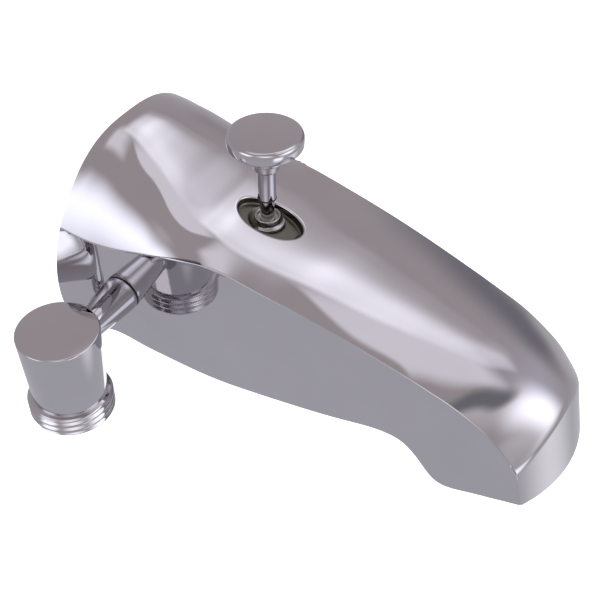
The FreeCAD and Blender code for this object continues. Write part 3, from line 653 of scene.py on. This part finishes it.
# Studio: a white floor far below, a plain pale sky, soft lamps and two dark flags
CAM_AT = np.array([-165.6, -153.7, 178.7])    # camera, in millimetres
AIM = np.array([-32.24, -70.0, 29.82])        # what it looks at
ROLL = math.radians(-0.1)
VIEW_AZIMUTH = 32.1                           # its direction seen from above, in degrees
AIM_M = np.array([0.0, -0.055, 0.01])         # where the lamps and flags look, in metres
# Corners of the floor, ahead of the camera and to its side, and its level, in metres
FLOOR_CORNERS = ((0.96, -0.6), (3.56, -1.13), (3.56, 1.13), (0.96, 0.6))
FLOOR_LEVEL = -1.6


def towards(azimuth, elevation):
    """Unit vectors to the right of, up from and along a direction given in degrees:
    along = (cos a cos e, sin a cos e, sin e), right = (-sin a, cos a, 0)."""
    a, e = math.radians(azimuth), math.radians(elevation)
    along = np.array([math.cos(a) * math.cos(e), math.sin(a) * math.cos(e), math.sin(e)])
    right = np.array([-math.sin(a), math.cos(a), 0.0])
    return right, np.cross(along, right), along


def softbox(name, azimuth, elevation, wide, high, tilt, radiance, across, along_it, colour, away=1.6):
    """Area lamp that looks at the spout, with half widths given as tangents. Its light is the product
    of two eased ramps, across and along it, each a list of (place from 0 to 1, share)."""
    right, up, along = towards(azimuth, elevation)
    c, s = math.cos(math.radians(tilt)), math.sin(math.radians(tilt))
    right, up = right * c + up * s, up * c - right * s
    light = bpy.data.lights.new(name, "AREA")
    light.shape = "RECTANGLE"
    light.size, light.size_y = 2 * wide * away, 2 * high * away
    light.energy = math.pi * light.size * light.size_y * radiance
    light.color = to_linear(colour)[:3]
    light.use_nodes = True
    tree = light.node_tree
    place = add(tree, "ShaderNodeNewGeometry")
    parts = add(tree, "ShaderNodeSeparateXYZ", {0: place.outputs["Parametric"]})
    shares = []
    for axis, stops in (("X", across), ("Y", along_it)):
        ramp = add(tree, "ShaderNodeValToRGB", {"Fac": parts.outputs[axis]})
        ramp.color_ramp.interpolation = "EASE"
        while len(ramp.color_ramp.elements) < len(stops):
            ramp.color_ramp.elements.new(0.5)
        for element, (at, share) in zip(ramp.color_ramp.elements, stops):
            element.position = at
            element.color = (share, share, share, 1)
        shares.append(ramp.outputs["Color"])
    both = add(tree, "ShaderNodeMath", {0: shares[0], 1: shares[1]}, operation="MULTIPLY")
    tree.links.new(both.outputs[0], tree.nodes["Emission"].inputs["Strength"])
    lamp = bpy.data.objects.new(name, light)
    spot = AIM_M + along * away
    lamp.matrix_world = Matrix(((right[0], up[0], along[0], spot[0]), (right[1], up[1], along[1], spot[1]),
                                (right[2], up[2], along[2], spot[2]), (0, 0, 0, 1)))
    bpy.context.scene.collection.objects.link(lamp)


def flag(name, azimuth, elevation, box, colour, soft, away=1.2):
    """Card across the direction given; box is left, right, low, high as tangents. It looks the same
    from everywhere, and fades to clear towards its rim over the soft share of its half size."""
    right, up, along = towards(azimuth, elevation)
    left, far, low, high = box
    corners = [AIM_M + away * (along + right * a + up * b)
               for a, b in ((left, low), (far, low), (far, high), (left, high))]
    data = bpy.data.meshes.new(name)
    data.from_pydata([tuple(p) for p in corners], [], [(0, 1, 2, 3)])
    mat = bpy.data.materials.new(name + "_paint")
    mat.use_nodes = True
    tree = mat.node_tree
    glow = add(tree, "ShaderNodeEmission", {"Color": to_linear(colour), "Strength": 1.0})
    place = add(tree, "ShaderNodeTexCoord")
    centred = add(tree, "ShaderNodeVectorMath", {0: place.outputs["Generated"], 1: (0.5, 0.5, 0.5)},
                  operation="DISTANCE")
    clear = add(tree, "ShaderNodeMapRange",
                {"Value": centred.outputs["Value"], "From Min": 0.5 * (1 - soft), "From Max": 0.5},
                interpolation_type="SMOOTHSTEP")
    nothing = add(tree, "ShaderNodeBsdfTransparent")
    faded = add(tree, "ShaderNodeMixShader",
                {0: clear.outputs[0], 1: glow.outputs[0], 2: nothing.outputs[0]})
    tree.links.new(faded.outputs[0], tree.nodes["Material Output"].inputs["Surface"])
    obj = bpy.data.objects.new(name, data)
    data.materials.append(mat)
    bpy.context.scene.collection.objects.link(obj)


def white_floor():
    """Level floor below and ahead of the camera, white to the camera and in mirrors and glass."""
    mat = bpy.data.materials.new("white_floor")
    mat.use_nodes = True
    tree = mat.node_tree
    shader = tree.nodes["Principled BSDF"]
    shader.inputs["Base Color"].default_value = to_linear("f4f4f4")
    shader.inputs["Roughness"].default_value = 0.7
    shader.inputs["Emission Color"].default_value = (1, 1, 1, 1)
    path = add(tree, "ShaderNodeLightPath")
    seen = add(tree, "ShaderNodeMath", {0: path.outputs["Is Camera Ray"], 1: path.outputs["Is Glossy Ray"]},
               operation="MAXIMUM")
    seen = add(tree, "ShaderNodeMath", {0: seen.outputs[0], 1: path.outputs["Is Transmission Ray"]},
               operation="MAXIMUM")
    tree.links.new(seen.outputs[0], shader.inputs["Emission Strength"])
    data = bpy.data.meshes.new("floor")
    turn = math.radians(VIEW_AZIMUTH)
    ahead, aside = (math.cos(turn), math.sin(turn)), (-math.sin(turn), math.cos(turn))
    corners = [(CAM_AT[0] * MM + ahead[0] * a + aside[0] * b,
                CAM_AT[1] * MM + ahead[1] * a + aside[1] * b, FLOOR_LEVEL) for a, b in FLOOR_CORNERS]
    data.from_pydata(corners, [], [(0, 1, 2, 3)])
    data.materials.append(mat)
    obj = bpy.data.objects.new("floor", data)
    bpy.context.scene.collection.objects.link(obj)


# Sky: a little paler and bluer below than above
world = bpy.data.worlds.new("studio")
bpy.context.scene.world = world
world.use_nodes = True
sky = world.node_tree.nodes["Background"]
place = add(world.node_tree, "ShaderNodeTexCoord")
height = add(world.node_tree, "ShaderNodeSeparateXYZ", {0: place.outputs["Generated"]})
level = add(world.node_tree, "ShaderNodeMapRange",
            {"Value": height.outputs["Z"], "From Min": -0.7, "From Max": 0.7})
tone = add(world.node_tree, "ShaderNodeMix", {"Factor": level.outputs[0]}, data_type="RGBA")
tone.inputs["A"].default_value = to_linear("c8c7cd")
tone.inputs["B"].default_value = to_linear("bcb3b4")
world.node_tree.links.new(tone.outputs["Result"], sky.inputs["Color"])
sky.inputs["Strength"].default_value = 1.0

white_floor()

# Lamps: azimuth, elevation, half width and half height, tilt, radiance, ramps across and along, colour,
# and distance in metres where it isn't 1.6
SOFT = ((0.0, 0.0), (0.35, 1.0), (0.65, 1.0), (1.0, 0.0))
BELL = ((0.0, 0.0), (0.5, 1.0), (1.0, 0.0))
EARLY = ((0.0, 0.0), (0.3, 1.0), (0.65, 1.0), (1.0, 0.0))
LATE = ((0.0, 0.0), (0.3, 1.0), (0.88, 1.0), (1.0, 0.0))
STRIP_ACROSS = ((0.0, 0.0), (0.2, 0.18), (0.42, 0.65), (0.6, 1.0), (0.72, 0.7), (0.95, 0.0))
STRIP_ALONG = ((0.0, 0.0), (0.12, 0.12), (0.42, 1.0), (0.75, 0.7), (1.0, 0.0))
softbox("overhead_strip", 4.9, 54.5, 0.42, 0.18, -4.3, 1.3, STRIP_ACROSS, STRIP_ALONG, "f1f5ff")
softbox("overhead_softbox", -28, 66.5, 0.44, 0.21, -16, 0.6, EARLY, LATE, "f1f5ff")
softbox("wall_end_softbox", 51, 66.1, 0.20, 0.36, -47.5, 0.6, SOFT, SOFT, "f1f5ff")
softbox("front_softbox", -78, 32, 0.64, 0.56, 0, 1.65, BELL, BELL, "f8fbff")
softbox("front_glow", -60, 38, 1.0, 0.60, 0, 0.25, BELL, BELL, "c4d2ff")
softbox("front_low_softbox", -88, 8, 0.55, 0.26, 0, 0.35, SOFT, SOFT, "f6fffb")
softbox("floor_side_softbox", -64, -36, 0.50, 0.30, 0, 0.55, BELL, SOFT, "ffffff", 0.8)
softbox("wall_side_softbox", 155, 27, 0.40, 0.62, 0, 1.6, SOFT, BELL, "ecf2ff")
softbox("low_left_softbox", -112, -20, 0.32, 0.32, 0, 1.3, SOFT, SOFT, "f4f6ff", 0.8)
softbox("edge_softbox", -148, 42, 0.55, 0.55, 0, 1.2, BELL, BELL, "f4f8ff")
softbox("overhead_end_softbox", -23, 52, 0.16, 0.14, -16, 0.36, SOFT, SOFT, "f1f5ff")
flag("dark_flag", -6, 18, (-0.56, 0.44, -0.80, 0.60), "87858d", 0.9)
flag("dark_top_flag", -95, 56, (-0.50, 0.50, -0.22, 0.22), "86868c", 0.8)

bpy.context.scene.view_settings.view_transform = "Standard"

# Camera, fitted to the photograph
cam_data = bpy.data.cameras.new("camera")
cam_data.sensor_width = 36.0
cam_data.lens = 64.02
cam = bpy.data.objects.new("camera", cam_data)
bpy.context.scene.collection.objects.link(cam)
turn = Vector(AIM - CAM_AT).normalized().to_track_quat("-Z", "Y").to_matrix().to_4x4()
cam.matrix_world = Matrix.Translation(Vector(CAM_AT * MM)) @ turn @ Matrix.Rotation(ROLL, 4, "Z")
bpy.context.scene.camera = cam
